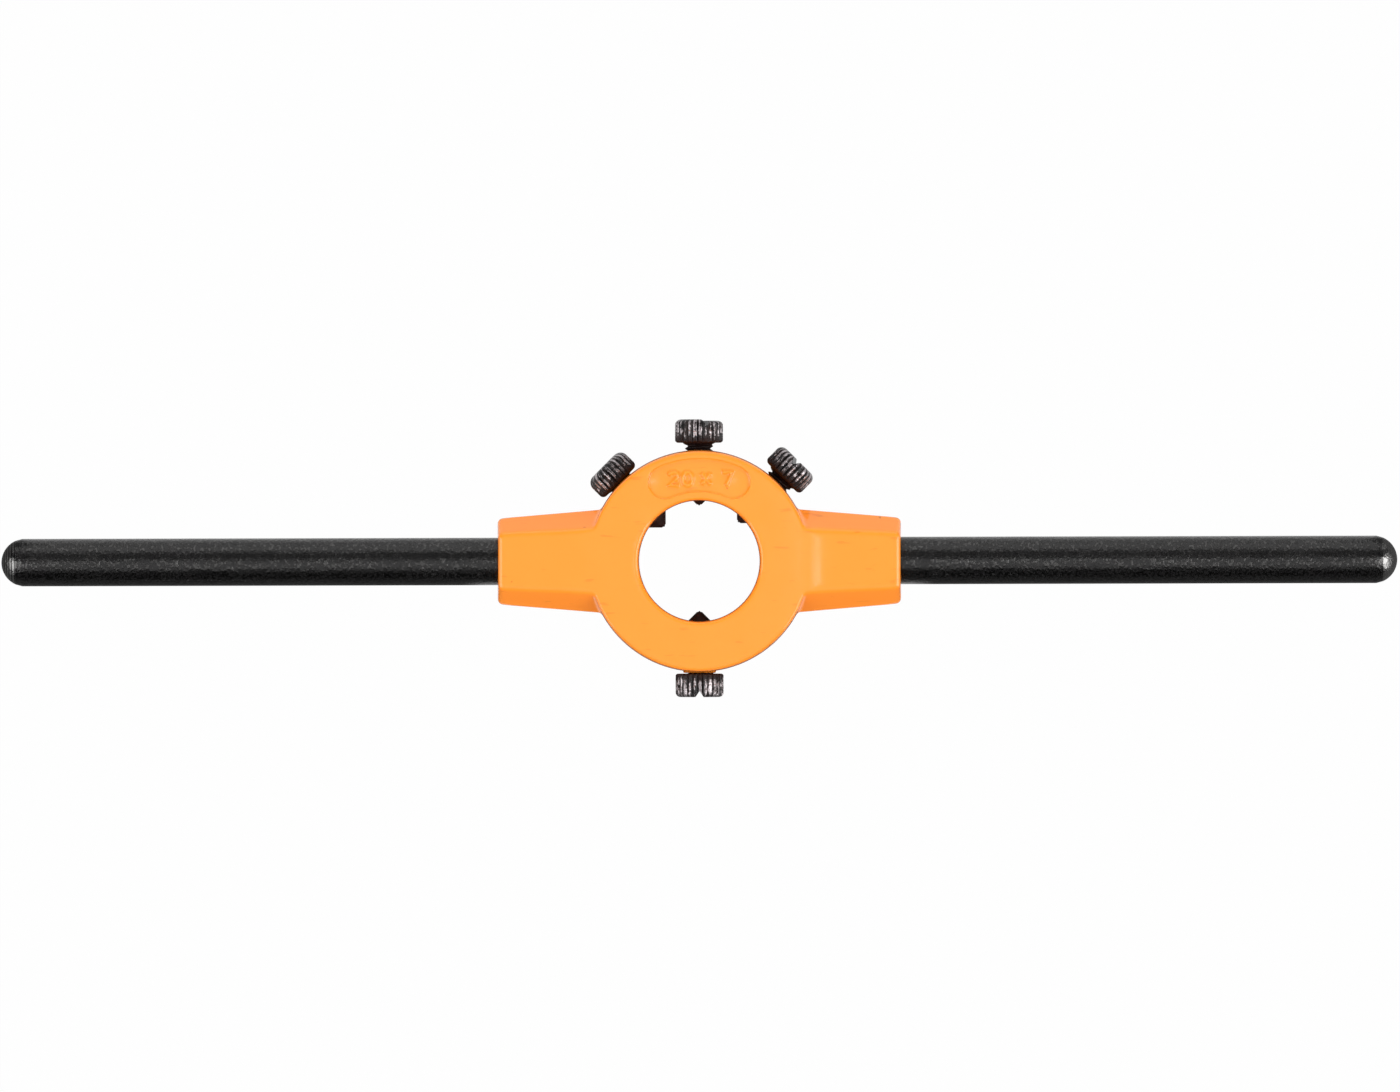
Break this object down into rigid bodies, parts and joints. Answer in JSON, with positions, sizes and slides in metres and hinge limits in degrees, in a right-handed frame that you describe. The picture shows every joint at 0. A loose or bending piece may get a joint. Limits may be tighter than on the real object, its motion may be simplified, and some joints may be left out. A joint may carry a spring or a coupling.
{
  "type": "die stock handle",
  "caption": "Die stock for round threading dies: cast ring with tapered lugs, straight steel handles and knurled cone-point screws.",
  "frame": {"origin": "on the die's axis, in the flat face that the stock lies on, where the die pocket opens", "axes": "+Z along the die's axis, out of the marked face; +X along the right-hand handle; +Y towards the spreading screw and the size panel"},
  "size_m": [0.2, 0.0398, 0.011],
  "materials": {
    "enamel": "satin",
    "blackened_bar": "satin",
    "blackened_screw": "satin"
  },
  "bodies": {
    "stock": {"stock_body": "enamel", "handle_left": "blackened_bar", "handle_right": "blackened_bar"},
    "spreading_screw": {"spreading_screw": "blackened_screw"},
    "closing_screw_left": {"closing_screw_left": "blackened_screw"},
    "closing_screw_right": {"closing_screw_right": "blackened_screw"},
    "locking_screw": {"locking_screw": "blackened_screw"}
  },
  "joints": [
    {"name": "spreading_screw_travel", "type": "slide", "parent": "stock", "child": "spreading_screw", "axis": [0, 1, 0], "range_m": [-0.00102, 0.0023]},
    {"name": "closing_screw_left_travel", "type": "slide", "parent": "stock", "child": "closing_screw_left", "axis": [-0.7071, 0.7071, 0], "range_m": [-0.00007, 0.00325]},
    {"name": "closing_screw_right_travel", "type": "slide", "parent": "stock", "child": "closing_screw_right", "axis": [0.7071, 0.7071, 0], "range_m": [-0.00092, 0.0024]},
    {"name": "locking_screw_travel", "type": "slide", "parent": "stock", "child": "locking_screw", "axis": [0, -1, 0], "range_m": [-0.00005, 0.0031]}
  ]
}
